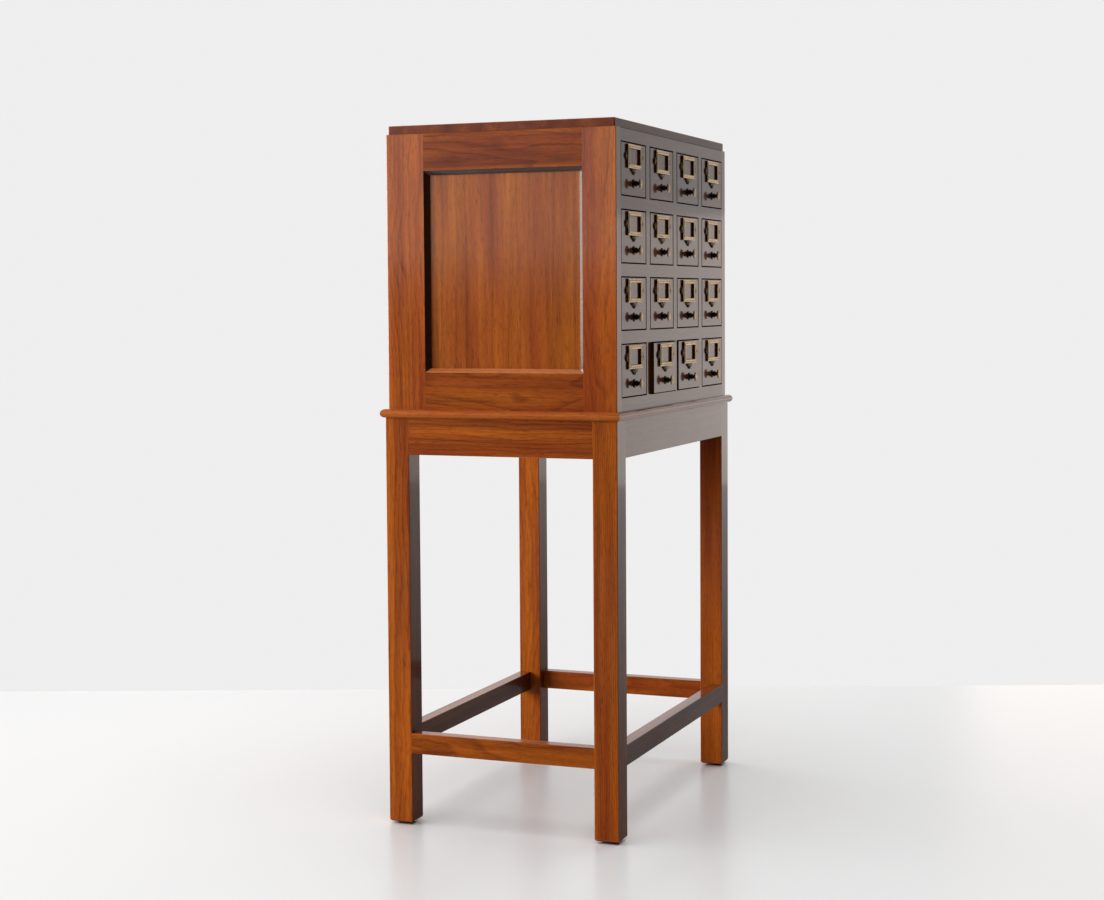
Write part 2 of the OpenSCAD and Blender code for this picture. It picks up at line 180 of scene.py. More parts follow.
def timber(
    name,
    colours,
    coat=1.0,
    coat_roughness=0.1,
    coat_ior=1.26,
    sheen=0.04,
    roughness=0.42,
    rings=0.22,
    ring_width=4.2 * MM,
):
    """Sawn timber: growth rings, streaks and pores that run along each board.

    colours are the wood's pale tone, its dark tone and the colour of its pores.
    The board attribute is the board's own length, width and depth in metres.
    """
    pale, dark, line = colours
    material, tree = new_material(name)
    board = attribute(tree, "board", "Vector")
    tone = attribute(tree, "tone")
    worn = attribute(tree, "worn")

    # Slow waves along the board bend the rings.
    bend = noise(tree, scaled(tree, board, RING_WAVES), 1.0, 3.0, 0.5)
    bend = maths(tree, "MULTIPLY", maths(tree, "SUBTRACT", bend, 0.5), 0.042)
    across = add(tree, "ShaderNodeSeparateXYZ", {0: board})
    far = maths(tree, "POWER", across.outputs[1], 2.0)
    deep = maths(tree, "POWER", across.outputs[2], 2.0)
    radius = maths(tree, "SQRT", maths(tree, "ADD", far, deep))
    radius = maths(tree, "ADD", radius, bend)
    turns = maths(tree, "DIVIDE", radius, ring_width)
    year = maths(tree, "FRACT", turns)
    late = ramp(tree, year, ((0.0, 0.15), (0.55, 0.35), (0.86, 1.0), (1.0, 0.1)))

    # Broad streaks of colour, finer fibres, and the short dark pores.
    streak = noise(tree, scaled(tree, board, STREAKS), 1.0, 4.0, 0.62)
    mottle = noise(tree, scaled(tree, board, MOTTLE), 1.0, 2.0, 0.5)
    fibre = noise(tree, scaled(tree, board, FIBRES), 1.0, 3.0, 0.65)
    pore = noise(tree, scaled(tree, board, PORES), 1.0, 1.0, 0.5)
    pore = ramp(tree, pore, ((0.57, 0.0), (0.66, 1.0)))

    depth = maths(tree, "MULTIPLY", late, rings)
    depth = maths(tree, "ADD", depth, maths(tree, "MULTIPLY", streak, 0.92 - rings))
    depth = maths(tree, "ADD", depth, maths(tree, "MULTIPLY", fibre, 0.30))
    depth = maths(tree, "ADD", depth, maths(tree, "MULTIPLY", mottle, 0.30))
    depth = maths(tree, "SUBTRACT", depth, maths(tree, "MULTIPLY", tone, 0.26))
    depth = ramp(tree, depth, ((0.34, 0.0), (1.02, 1.0)), "EASE")
    colour = blend(tree, depth, pale, dark)
    colour = blend(tree, maths(tree, "MULTIPLY", pore, 0.42), colour, line)
    # Golden patches and redder ones follow each other slowly along the board.
    patch = noise(tree, scaled(tree, board, PATCHES), 1.0, 3.0, 0.55)
    tint = ramp(tree, patch, ((0.34, GOLDEN), (0.66, REDDER)))
    colour = blend(tree, 1.0, colour, tint, "MULTIPLY")
    eased = tuple(min(1.0, 1.35 * c + 0.02) for c in pale)
    colour = blend(tree, maths(tree, "MULTIPLY", worn, 0.45), colour, eased)

    # The lacquer sinks a little into the pores and along the fibres.
    sunk = maths(tree, "MULTIPLY", pore, -0.6)
    relief = maths(tree, "ADD", maths(tree, "MULTIPLY", fibre, 0.5), sunk)
    bump = bumped(tree, relief, 0.10, 0.3 * MM)
    smear = noise(tree, scaled(tree, board, SMEARS), 1.0, 3.0, 0.6)
    gloss = maths(tree, "ADD", maths(tree, "MULTIPLY", smear, 0.16), roughness - 0.08)

    # The polish is thin low down on the uprights, and on some boards.
    place = add(tree, "ShaderNodeTexCoord").outputs["Object"]
    height = add(tree, "ShaderNodeSeparateXYZ", {0: place}).outputs[2]
    low = ramp(tree, height, ((THIN_UP_TO, THIN_POLISH), (FULL_FROM, 1.0)))
    normal = add(tree, "ShaderNodeNewGeometry").outputs["Normal"]
    up = add(tree, "ShaderNodeSeparateXYZ", {0: normal}).outputs[2]
    low = maths(tree, "MAXIMUM", low, up)
    patchy = maths(tree, "ADD", maths(tree, "MULTIPLY", smear, 0.5), 0.75, clamp=True)
    polish = maths(tree, "MULTIPLY", low, patchy)
    polish = maths(tree, "MULTIPLY", polish, attribute(tree, "polish"))
    polish = maths(tree, "MULTIPLY", polish, coat)
    set_surface(
        tree,
        "ShaderNodeBsdfPrincipled",
        {
            "Base Color": colour,
            "Roughness": gloss,
            "Specular IOR Level": sheen,
            "Coat Weight": polish,
            "Coat Roughness": coat_roughness,
            "Coat IOR": coat_ior,
            "Normal": bump,
        },
    )
    return material


# The bright brass, and the brown of patina and of painted shade.
BRIGHT_BRASS, BROWN_BRASS = (0.50, 0.325, 0.130), (0.022, 0.014, 0.010)


def polished_brass():
    """Yellow brass, with random brown blotches of patina, patina in the screw slots, and brown
    painted shade on the knob stems and on the sides and ears of the label frames.
    """
    material, tree = new_material("polished_brass")
    place = add(tree, "ShaderNodeTexCoord").outputs["Object"]
    cloud = noise(tree, place, 170.0, 5.0, 0.72)
    speck = noise(tree, place, 1400.0, 2.0, 0.5)
    # Random blotches of patina, plus the patina and painted shade marked on each fitting.
    patina_and_shade = attribute(tree, "patina_and_shade")
    blotch = maths(tree, "MULTIPLY", ramp(tree, cloud, ((0.40, 0.0), (0.66, 1.0))), 0.55)
    patina_shade_mix = maths(tree, "ADD", blotch, maths(tree, "MULTIPLY", patina_and_shade, 0.75))
    patina_shade_mix = ramp(tree, patina_shade_mix, ((0.0, 0.10), (0.5, 0.58), (0.95, 1.0)))
    colour = blend(tree, patina_shade_mix, BRIGHT_BRASS, BROWN_BRASS)
    rough = maths(tree, "ADD", maths(tree, "MULTIPLY", patina_shade_mix, 0.20), 0.24)
    rough = maths(tree, "ADD", rough, maths(tree, "MULTIPLY", speck, 0.08))
    bump = bumped(tree, cloud, 0.12, 0.15 * MM)
    set_surface(
        tree,
        "ShaderNodeBsdfPrincipled",
        {"Base Color": colour, "Metallic": 1.0, "Roughness": rough, "Normal": bump},
    )
    return material


def painted_gap_shade():
    """Near-black painted shade on the eased edges round the drawers and their openings, for
    the shadowed gaps between them.
    """
    material, tree = new_material("painted_gap_shade")
    place = add(tree, "ShaderNodeTexCoord").outputs["Object"]
    shade_speckle = noise(tree, place, 260.0, 3.0, 0.6)
    colour = ramp(tree, shade_speckle, ((0.3, (0.004, 0.003, 0.003)), (0.8, (0.022, 0.013, 0.008))))
    bump = bumped(tree, shade_speckle, 0.25, 0.2 * MM)
    set_surface(
        tree,
        "ShaderNodeBsdfPrincipled",
        {"Base Color": colour, "Roughness": 0.8, "Specular IOR Level": 0.0, "Normal": bump},
    )
    return material


def glide_rubber():
    """Dull dark rubber with scuffs."""
    material, tree = new_material("glide_rubber")
    place = add(tree, "ShaderNodeTexCoord").outputs["Object"]
    scuff = noise(tree, place, 320.0, 4.0, 0.65)
    colour = ramp(tree, scuff, ((0.35, (0.012, 0.011, 0.010)), (0.75, (0.055, 0.048, 0.042))))
    bump = bumped(tree, scuff, 0.3, 0.2 * MM)
    set_surface(
        tree,
        "ShaderNodeBsdfPrincipled",
        {"Base Color": colour, "Roughness": 0.72, "Normal": bump},
    )
    return material


def studio_floor():
    """A pale, slightly glossy floor."""
    material, tree = new_material("studio_floor")
    place = add(tree, "ShaderNodeTexCoord").outputs["Object"]
    cloud = noise(tree, place, 0.7, 3.0, 0.5)
    colour = ramp(tree, cloud, ((0.3, 0.80), (0.7, 0.82)))
    set_surface(
        tree,
        "ShaderNodeBsdfPrincipled",
        {"Base Color": colour, "Roughness": 0.28, "Specular IOR Level": 0.35},
    )
    return material


# Each wood's pale tone, dark tone and pores.
LACQUERED = ((0.265, 0.058, 0.0046), (0.082, 0.0135, 0.0016), (0.028, 0.006, 0.0013))
# A near-black dark tone: painted shade on the beads round the side panels.
BEAD_SHADE_WOOD = ((0.290, 0.070, 0.0060), (0.028, 0.007, 0.0015), (0.014, 0.004, 0.001))
PANEL_WOOD = ((0.250, 0.060, 0.0050), (0.080, 0.0140, 0.002), (0.035, 0.008, 0.0015))
# About half as bright as the lacquered teak: painted shade on the faces that look to the
# front.
FRONT_SHADE_WOOD = ((0.130, 0.032, 0.006), (0.050, 0.0115, 0.003), (0.017, 0.0045, 0.002))
# Darker still: painted shade on the rims of the drawer fronts.
RIM_SHADE_WOOD = ((0.060, 0.016, 0.004), (0.024, 0.007, 0.002), (0.012, 0.004, 0.002))
DRY_WOOD = ((0.50, 0.29, 0.14), (0.27, 0.13, 0.055), (0.10, 0.05, 0.02))

# The case and stand, the flat top, the beads of the sides darkened as painted shade, their
# panels, the front and the rims of its drawers darkened as painted shade, and the bare wood
# inside.
TEAK = timber("lacquered_teak", LACQUERED, coat_roughness=0.09, rings=0.19)
TOP_TEAK = timber("top_teak", LACQUERED, coat_roughness=0.22, rings=0.19)
BEAD_TEAK = timber("bead_shade_teak", BEAD_SHADE_WOOD, coat_roughness=0.12, coat_ior=1.55)
PANEL_TEAK = timber("panel_teak", PANEL_WOOD, rings=0.10, ring_width=9.0 * MM)
FRONT_TEAK = timber("front_shade_teak", FRONT_SHADE_WOOD, coat_roughness=0.07, rings=0.15)
RIM_TEAK = timber("rim_shade_teak", RIM_SHADE_WOOD, coat=0.3, coat_roughness=0.2, rings=0.15)
DRY_TEAK = timber(
    "dry_teak", DRY_WOOD, coat=0.0, coat_roughness=0.5, sheen=0.3, roughness=0.62
)
# The near-black painted shade on the eased edges round the drawers.
GAP_SHADE = painted_gap_shade()
BRASS = polished_brass()
RUBBER = glide_rubber()


# ---------------------------------------------------------------- woodwork

# The tone of boards that lie along X, Y and Z: 0.5 is usual, more is paler.
LEG_TONES = (0.5, 0.5, 0.5)
APRON_TONES = (0.3, 0.25, 0.5)
STRETCHER_TONES = (-0.4, 0.55, 0.5)
MOULDING_TONES = (0.6, 1.0, 0.8)
SIDE_TONES = (0.5, 0.2, 0.7)
# The beads are made very dark as painted shade, and the lowest bead pale as a painted
# highlight where it faces up to the light.
BEAD_TONES, LIT_BEAD_TONE = (-2.2, -2.2, -2.2), 1.2
TOP_TONES = (-0.7, -0.7, -0.7)
TONE_SPREAD = 0.1

# How thick the polish is on boards that lie along X, Y and Z.
FULL_POLISH = (1.0, 1.0, 1.0)
APRON_POLISH = (0.9, 1.0, 1.0)
MOULDING_POLISH = (1.0, 0.6, 1.0)
SIDE_POLISH = (0.4, 0.4, 1.0)
TOP_POLISH = (0.5, 0.5, 0.5)
FRONT_POLISH = (0.85, 0.85, 0.85)

# A face whose normal is this near to Y is a front, and one this far from it is a rim; both are
# given darker wood as painted shade.
FACES_OUT, FACES_ASIDE = 0.9, 0.5


def object_from(mesh_builder, name, materials, smooth=False):
    """Turns a bmesh into an object at the origin, and frees the bmesh."""
    mesh = bpy.data.meshes.new(name)
    mesh_builder.to_mesh(mesh)
    mesh_builder.free()
    piece = bpy.data.objects.new(name, mesh)
    bpy.context.scene.collection.objects.link(piece)
    for material in materials:
        mesh.materials.append(material)
    for polygon in mesh.polygons:
        polygon.use_smooth = smooth
    return piece


def boards_of(node):
    """A merged copy of a CAD node's mesh, with its flat faces made whole again."""
    build = bmesh.new()
    build.from_mesh(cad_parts[node].data)
    bmesh.ops.remove_doubles(build, verts=build.verts, dist=MERGE)
    bmesh.ops.dissolve_limit(
        build, angle_limit=FLAT_ANGLE, verts=build.verts, edges=build.edges
    )
    bmesh.ops.recalc_face_normals(build, faces=build.faces)
    return build


def islands(build):
    """The separate boards of a bmesh, each as a list of its vertices."""
    left = set(build.verts)
    found = []
    while left:
        seed = min(left, key=lambda v: v.index)
        group = {seed}
        waiting = [seed]
        while waiting:
            vertex = waiting.pop()
            for edge in vertex.link_edges:
                other = edge.other_vert(vertex)
                if other not in group:
                    group.add(other)
                    waiting.append(other)
        left -= group
        found.append(sorted(group, key=lambda v: v.index))
    return found


def solids_tree(skip):
    """A search tree over every CAD node of the cabinet and its drawers but one."""
    points, faces = [], []
    for name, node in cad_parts.items():
        if name == skip:
            continue
        start = len(points)
        points.extend(v.co.copy() for v in node.data.vertices)
        faces.extend([start + i for i in p.vertices] for p in node.data.polygons)
    return BVHTree.FromPolygons(points, faces)


def board_trees(build):
    """A search tree for each board of a bmesh, and the board that each vertex is on."""
    trees, home = [], {}
    for number, group in enumerate(islands(build)):
        home.update((vertex, number) for vertex in group)
        place = {vertex: i for i, vertex in enumerate(group)}
        faces = {face for vertex in group for face in vertex.link_faces}
        faces = sorted(faces, key=lambda face: face.index)
        corners = [[place[vertex] for vertex in face.verts] for face in faces]
        trees.append(BVHTree.FromPolygons([v.co.copy() for v in group], corners))
    return trees, home


def free_edges(build, neighbours):
    """The sharp edges that no neighbouring board meets."""
    build.verts.index_update()
    build.faces.index_update()
    trees, home = board_trees(build)
    chosen = []
    for edge in build.edges:
        if len(edge.link_faces) != 2 or edge.calc_face_angle(0.0) < SHARP_ANGLE:
            continue
        middle = (edge.verts[0].co + edge.verts[1].co) / 2
        others = [tree for number, tree in enumerate(trees) if number != home[edge.verts[0]]]
        if neighbours is not None:
            others.append(neighbours)
        if any(tree.find_nearest(middle, HAIRLINE)[0] is not None for tree in others):
            continue
        chosen.append(edge)
    return chosen


def ease_edges(build, width, neighbours=None, steps=2):
    """Rounds the free edges and marks the new faces, which are lightened as wear or given the
    painted gap shade.
    """
    worn = build.faces.layers.float.new("bevel_face")
    edges = free_edges(build, neighbours)
    made = bmesh.ops.bevel(
        build,
        geom=edges,
        offset=width,
        segments=steps,
        profile=0.55,
        affect="EDGES",
        clamp_overlap=True,
    )
    for face in made["faces"]:
        face[worn] = 1.0
    return worn


def lay_grain(build, seed, along=None, tones=None, polish=FULL_POLISH, lowest_tone=None):
    """Gives each board its own length, width and depth, a tone and a place in the tree.

    along fixes the direction of the grain; otherwise it is the board's longest side.
    tones gives the tone of boards along X, Y and Z; otherwise it is drawn at random.
    polish is how thick the polish is on boards along X, Y and Z.
    lowest_tone is the tone of a board that lies wholly in the lower half; the beads use it for
    a painted highlight.
    """
    half_way = (min(v.co.z for v in build.verts) + max(v.co.z for v in build.verts)) / 2
    build.verts.index_update()
    board = build.verts.layers.float_vector.new("board")
    tone = build.verts.layers.float.new("tone")
    shine = build.verts.layers.float.new("polish")
    worn = build.verts.layers.float.new("worn")
    bevel_face = build.faces.layers.float.get("bevel_face")
    chance = random.Random(seed)
    for group in islands(build):
        low = Vector(min(v.co[i] for v in group) for i in range(3))
        high = Vector(max(v.co[i] for v in group) for i in range(3))
        size = high - low
        order = sorted(range(3), key=lambda i: -size[i])
        if along is not None:
            order.remove(along)
            order.insert(0, along)
        shift = Vector(
            (chance.uniform(0, 40), chance.uniform(-0.12, 0.12), chance.uniform(0.05, 0.22))
        )
        value = chance.random()
        if tones is not None:
            value = tones[order[0]] + TONE_SPREAD * (value - 0.5)
        if lowest_tone is not None and high.z < half_way:
            value = lowest_tone
        middle = (low + high) / 2
        for vertex in group:
            place = vertex.co - middle
            vertex[board] = Vector(place[axis] for axis in order) + shift
            vertex[tone] = value
            vertex[shine] = polish[order[0]]
    for vertex in build.verts:
        marked = [face[bevel_face] for face in vertex.link_faces]
        vertex[worn] = 1.0 if marked and min(marked) > 0.5 else 0.0


def joinery(
    node,
    material,
    ease,
    along=None,
    seed=1,
    cuts=(),
    tones=None,
    edge=None,
    polish=FULL_POLISH,
    lowest_tone=None,
    front=None,
):
    """A CAD node of boards, with eased edges and grain, that stands for the node.

    edge is the material of the eased edges, where it is the painted gap shade, and front that
    of the faces to the front, a darker wood that paints the shade on them.
    """
    build = boards_of(node)
    for height in cuts:
        geometry = build.verts[:] + build.edges[:] + build.faces[:]
        bmesh.ops.bisect_plane(
            build, geom=geometry, dist=MERGE, plane_co=(0, 0, height), plane_no=(0, 0, 1)
        )
    bevel_face = ease_edges(build, ease, solids_tree(node))
    second = edge or front
    # Painted shade: eased edges take the edge material, or faces to the front the darker front
    # material.
    for face in build.faces:
        if edge is not None:
            face.material_index = int(face[bevel_face])
        elif front is not None:
            face.material_index = int(face.normal.y < -FACES_OUT)
    lay_grain(build, seed, along, tones, polish, lowest_tone)
    piece = object_from(build, node + ".wood", [material, second] if second else [material])
    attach(piece, CABINET)
    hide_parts(node)


def build_stand():
    apron_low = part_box("apron_front")[0].z
    stretcher_low, stretcher_high = (corner.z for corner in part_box("stretcher_front"))
    levels = (stretcher_low, stretcher_high, apron_low)
    # The faces of the legs, aprons and stretchers that look to the front take the darker wood
    # as painted shade.
    for number, side in enumerate(("front_left", "front_right", "rear_left", "rear_right")):
        joinery(
            "leg_" + side,
            TEAK,
            LEG_EASE,
            seed=11 + number,
            cuts=levels,
            tones=LEG_TONES,
            front=FRONT_TEAK,
        )
    for number, side in enumerate(("front", "rear", "left", "right")):
        joinery(
            "apron_" + side,
            TEAK,
            RAIL_EASE,
            seed=21 + number,
            tones=APRON_TONES,
            polish=APRON_POLISH,
            front=FRONT_TEAK,
        )
        joinery(
            "stretcher_" + side,
            TEAK,
            RAIL_EASE,
            seed=31 + number,
            tones=STRETCHER_TONES,
            front=FRONT_TEAK,
        )
    joinery(
        "stand_moulding",
        TEAK,
        MOULDING_EASE,
        seed=41,
        tones=MOULDING_TONES,
        polish=MOULDING_POLISH,
    )


def build_case():
    # The side frames take the darker wood on their faces to the front as painted shade.
    for number, side in enumerate(("left", "right")):
        joinery(
            "side_frame_" + side,
            TEAK,
            CASE_EASE,
            seed=51 + number,
            tones=SIDE_TONES,
            polish=SIDE_POLISH,
            front=FRONT_TEAK,
        )
        # The beads are dark as painted shade, with the lowest one pale as a painted highlight.
        joinery(
            "side_beads_" + side,
            BEAD_TEAK,
            THIN_EASE,
            seed=53 + number,
            tones=BEAD_TONES,
            lowest_tone=LIT_BEAD_TONE,
        )
        joinery(
            "side_panel_" + side,
            PANEL_TEAK,
            THIN_EASE,
            seed=55 + number,
            along=UP,
        )
    # The front rails and uprights are the darker wood as painted shade, with painted gap shade
    # on their eased edges.
    for node, ease, seed in (
        ("front_rails", FRONT_RAIL_EASE, 61),
        ("front_uprights", UPRIGHT_EASE, 62),
    ):
        joinery(node, FRONT_TEAK, ease, seed=seed, edge=GAP_SHADE, polish=FRONT_POLISH)
    joinery("top_board", TOP_TEAK, TOP_EASE, seed=63, tones=TOP_TONES, polish=TOP_POLISH)
    joinery("back_frame", TEAK, BACK_EASE, seed=64)
    joinery("back_sheet", PANEL_TEAK, THIN_EASE, seed=65, along=UP)
    for seed, node in enumerate(("shelves", "drawer_guides", "drawer_stops"), 66):
        joinery(node, DRY_TEAK, INSIDE_EASE, seed=seed)


def glide_pads():
    """The four pads under the legs, with a rolled lower edge."""
    build = boards_of("glides")
    ease_edges(build, PAD_EASE, solids_tree("glides"), steps=3)
    piece = object_from(build, "glides.pads", [RUBBER])
    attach(piece, CABINET)
    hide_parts("glides")


def build_drawer(row, column):
    """A drawer's front and its tray, split from the CAD drawer."""
    tag = f"r{row}c{column}"
    node = "drawer_box_" + tag
    body = "drawer_" + tag
    front_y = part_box(node)[0].y
    seed = 100 + 10 * row + column
    for name, material, slot, is_front in (
        ("drawer_front_", FRONT_TEAK, "drawer_teak", True),
        ("drawer_tray_", DRY_TEAK, "plain_teak", False),
    ):
        build = boards_of(node)
        for group in islands(build):
            touches_front = min(v.co.y for v in group) < front_y + MM
            if touches_front != is_front:
                bmesh.ops.delete(build, geom=group, context="VERTS")
        bevel_face = ease_edges(build, DRAWER_EASE if is_front else INSIDE_EASE)
        # The front is the darker wood as painted shade, its eased edges the painted gap shade,
        # and its rims darker wood still as painted shade.
        materials = [material]
        if is_front:
            materials += [GAP_SHADE, RIM_TEAK]
            for face in build.faces:
                rim = 2 if abs(face.normal.y) < FACES_ASIDE else 0
                face.material_index = 1 if face[bevel_face] > 0.5 else rim
        lay_grain(build, seed, polish=FRONT_POLISH)
        piece = object_from(build, name + tag, materials)
        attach(piece, body)
        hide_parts(node)


# ---------------------------------------------------------------- brass fittings


def lathe(profile, steps):
    """Turns a profile of (radius, height) about +Z into a closed bmesh."""
    build = bmesh.new()
    rings = []
    for radius, height in profile:
        if radius < TINY:
            rings.append([build.verts.new((0.0, 0.0, height))])
            continue
        ring = []
        for i in range(steps):
            turn = 2 * math.pi * i / steps
            place = (radius * math.cos(turn), radius * math.sin(turn), height)
            ring.append(build.verts.new(place))
        rings.append(ring)
    for low, high in zip(rings, rings[1:]):
        for i in range(steps):
            j = (i + 1) % steps
            upper = [high[j % len(high)], high[i % len(high)]]
            unique = list(dict.fromkeys([low[i % len(low)], low[j % len(low)], *upper]))
            if len(unique) > 2:
                build.faces.new(unique)
    bmesh.ops.recalc_face_normals(build, faces=build.faces)
    return build


# Facets round the knob, and the height in millimetres where its head begins; the stem below is
# painted brown as shade.
KNOB_STEPS, KNOB_HEAD = 40, 12.7


def knob_profile():
    """Radius and height of the turned knob, in millimetres, from its foot to its face."""
    points = [(0.0, 0.0), (7.9, 0.0), (8.1, 0.5), (8.0, 1.1), (7.5, 1.5), (6.2, 1.7)]
    points += [(5.0, 2.0), (4.4, 2.6)]
    for step in range(7):
        angle = math.radians(-60 + 20 * step)
        points.append((3.6 + 2.0 * math.cos(angle), 5.4 + 2.2 * math.sin(angle)))
    points += [(3.5, 7.9), (3.3, 8.5)]
    for step in range(1, 8):
        t = step / 7
        points.append((3.4 + 5.3 * t * t, 8.6 + 4.0 * t))
    points += [(9.0, 12.75), (9.22, 13.05), (9.22, 13.45), (9.0, 13.75)]
    for angle in range(28, 90, 10):
        turn = math.radians(angle)
        points.append((9.3 * math.cos(turn), 13.55 + 1.65 * math.sin(turn)))
    points.append((0.0, 15.2))
    return points


def mark_patina_and_shade(build, value_of):
    """Notes how brown each point is, from 0 to 1 or a little over: patina in the screw slots,
    painted shade on the knob stems and the frames' sides and ears.
    """
    layer = build.verts.layers.float.new("patina_and_shade")
    for vertex in build.verts:
        vertex[layer] = value_of(vertex.co)


def turned_knob():
    """The knob standing on the origin along +Z, in metres."""
    build = lathe([(r * MM, h * MM) for r, h in knob_profile()], KNOB_STEPS)

    # Painted shade: the head stays bright, and the stem is browned, most where it is thinnest.
    def patina_and_shade(point):
        radius = math.hypot(point.x, point.y) / MM
        height = point.z / MM
        if height > KNOB_HEAD:
            return 0.3
        return 1.0 + 0.5 * max(0.0, min(1.0, (8.0 - radius) / 4.0))

    mark_patina_and_shade(build, patina_and_shade)
    return build


def lobed_outline(lobes, turn, steps):
    """Half of the outline of overlapping round lobes, seen from the origin.

    lobes are (x, y, radius); the outline runs from -90 to +90 degrees about turn.
    """
    outline = []
    for step in range(steps + 1):
        angle = turn + math.radians(-90 + 180 * step / steps)
        ray = Vector((math.cos(angle), math.sin(angle)))
        reach = 0.0
        for x, y, radius in lobes:
            centre = Vector((x, y))
            near = ray.dot(centre)
            inside = radius**2 - (centre.length_squared - near**2)
            if inside > 0.0:
                reach = max(reach, near + math.sqrt(inside))
        outline.append(ray * reach)
    return outline


def rounded_rectangle(half_w, half_h, radius, steps=3):
    points = []
    for number, (sx, sz) in enumerate(((1, 1), (-1, 1), (-1, -1), (1, -1))):
        for step in range(steps + 1):
            angle = math.radians(90 * number + 90 * step / steps)
            x = sx * (half_w - radius) + radius * math.cos(angle)
            z = sz * (half_h - radius) + radius * math.sin(angle)
            points.append((x, z))
    return points


def join_rings(build, rings, closed=False):
    pairs = list(zip(rings, rings[1:]))
    if closed:
        pairs.append((rings[-1], rings[0]))
    for low, high in pairs:
        for i in range(len(low)):
            j = (i + 1) % len(low)
            build.faces.new((low[i], low[j], high[j], high[i]))


# The label frame, in millimetres, about the middle of its window.
LABEL_W, LABEL_H = 77.0, 43.0
WINDOW_W, WINDOW_H = 57.0, 28.5
CARD_SLOT_T, CARD_SLOT_W, CARD_SLOT_DOWN = 1.0, 67.0, 3.0
# The ears are flat plates of round lobes, each (x, z, radius), let a little into the frame.
EAR_T, EAR_EASE, EAR_LAP = 2.4, 0.6, 0.3
EAR_LOBES = ((3.2, 0.0, 6.7), (1.2, 5.4, 2.9), (1.2, -5.4, 2.9))
PENDANT_LOBES = (
    (0.0, -6.4, 4.9),
    (5.6, -3.6, 4.3),
    (-5.6, -3.6, 4.3),
    (11.6, -0.9, 4.3),
    (-11.6, -0.9, 4.3),
)
LABEL_SCREWS = (
    (-LABEL_W / 2 - 5.2, 0.0),
    (LABEL_W / 2 + 5.2, 0.0),
    (0.0, -LABEL_H / 2 - 6.6),
)
SCREW_PROUD = 0.05
# The frame is bright above this height, and a little below it painted shade makes its bar
# sides and ears quite brown.
BRIGHT_ABOVE, BRIGHT_FADE = 3.35, 0.5
# Up from the lower edge of a drawer front to the frame's top edge and to the knob.
LABEL_TOP, KNOB_UP = 94.0, 24.5

# Across each bar: share of the bar's width from its outer edge, and height.
BAR_SECTION = (
    (0.0, 1.0), (0.0, 3.0), (0.03, 3.3), (0.09, 3.45), (0.20, 3.5), (0.30, 3.5),
    (0.36, 3.15), (0.46, 3.15), (0.54, 3.6), (0.64, 3.78), (0.76, 3.8), (0.88, 3.72),
    (0.96, 3.5), (1.0, 3.1), (1.0, 1.0),
)


def label_bars():
    """The four bars round the window, as one closed moulded ring."""
    build = bmesh.new()
    bar_w, bar_h = (LABEL_W - WINDOW_W) / 2, (LABEL_H - WINDOW_H) / 2
    rings = []
    for share, height in BAR_SECTION:
        half_w, half_h = LABEL_W / 2 - bar_w * share, LABEL_H / 2 - bar_h * share
        outline = rounded_rectangle(half_w, half_h, 1.4 - 0.8 * share)
        rings.append([build.verts.new((x, -height, z)) for x, z in outline])
    join_rings(build, rings, closed=True)
    bmesh.ops.recalc_face_normals(build, faces=build.faces)
    return build


def plate(outline, thickness, ease, back=0.0):
    """A flat plate with an eased front edge, from an outline of (x, z) points."""
    build = bmesh.new()
    count = len(outline)
    middle = sum(outline, Vector((0.0, 0.0))) / count
    levels = (
        (0.0, -back),
        (0.0, -(thickness - ease)),
        (0.35 * ease, -(thickness - 0.3 * ease)),
        (ease, -thickness),
    )
    rings = []
    for inset, y in levels:
        ring = []
        for i, point in enumerate(outline):
            along = (outline[(i + 1) % count] - outline[i - 1]).normalized()
            normal = Vector((along.y, -along.x))
            if normal.dot(point - middle) < 0:
                normal = -normal
            place = point - normal * inset
            ring.append(build.verts.new((place.x, y, place.y)))
        rings.append(ring)
    join_rings(build, rings)
    build.faces.new(rings[0])
    build.faces.new(rings[-1])
    bmesh.ops.recalc_face_normals(build, faces=build.faces)
    return build


def merge_into(target, source):
    """Adds a bmesh to another one, and frees it."""
    mesh = bpy.data.meshes.new("part")
    source.to_mesh(mesh)
    source.free()
    target.from_mesh(mesh)
    bpy.data.meshes.remove(mesh)


def label_frame():
    """The moulded frame with its card slot behind and its three screwed ears, in metres."""
    build = label_bars()
    half_w, half_h = LABEL_W / 2, LABEL_H / 2
    slot_w, slot_z = CARD_SLOT_W / 2, -WINDOW_H / 2 - CARD_SLOT_DOWN
    foot_top = half_h - 1
    foot = [(-half_w, foot_top), (-half_w, -half_h), (half_w, -half_h), (half_w, foot_top)]
    foot += [(slot_w, foot_top), (slot_w, slot_z), (-slot_w, slot_z), (-slot_w, foot_top)]
    merge_into(build, plate([Vector(p) for p in foot], CARD_SLOT_T + 0.1, 0.05))
    for side in (-1, 1):
        lobes = [(side * x, z, radius) for x, z, radius in EAR_LOBES]
        outline = lobed_outline(lobes, 0.0 if side > 0 else math.pi, 40)
        outline = [p + Vector((side * (half_w - EAR_LAP), 0.0)) for p in outline]
        merge_into(build, plate(outline, EAR_T, EAR_EASE))
    outline = lobed_outline(PENDANT_LOBES, -math.pi / 2, 56)
    outline = [p + Vector((0.0, -half_h + EAR_LAP)) for p in outline]
    merge_into(build, plate(outline, EAR_T, EAR_EASE))
    bmesh.ops.scale(build, vec=(MM, MM, MM), verts=build.verts)

    # Painted shade browns the bar sides and the ears, below the bright face.
    def patina_and_shade(point):
        height = -point.y / MM
        return max(0.0, min(1.0, (BRIGHT_ABOVE - height) / BRIGHT_FADE))

    mark_patina_and_shade(build, patina_and_shade)
    return build


# The screw head, in millimetres, with its dome's rings in degrees.
SCREW_R, SCREW_H, SLOT_HALF, SLOT_DEEP = 2.3, 1.2, 0.32, 0.55
DOME_RINGS, DOME_STEPS = (0, 25, 50, 72), 8


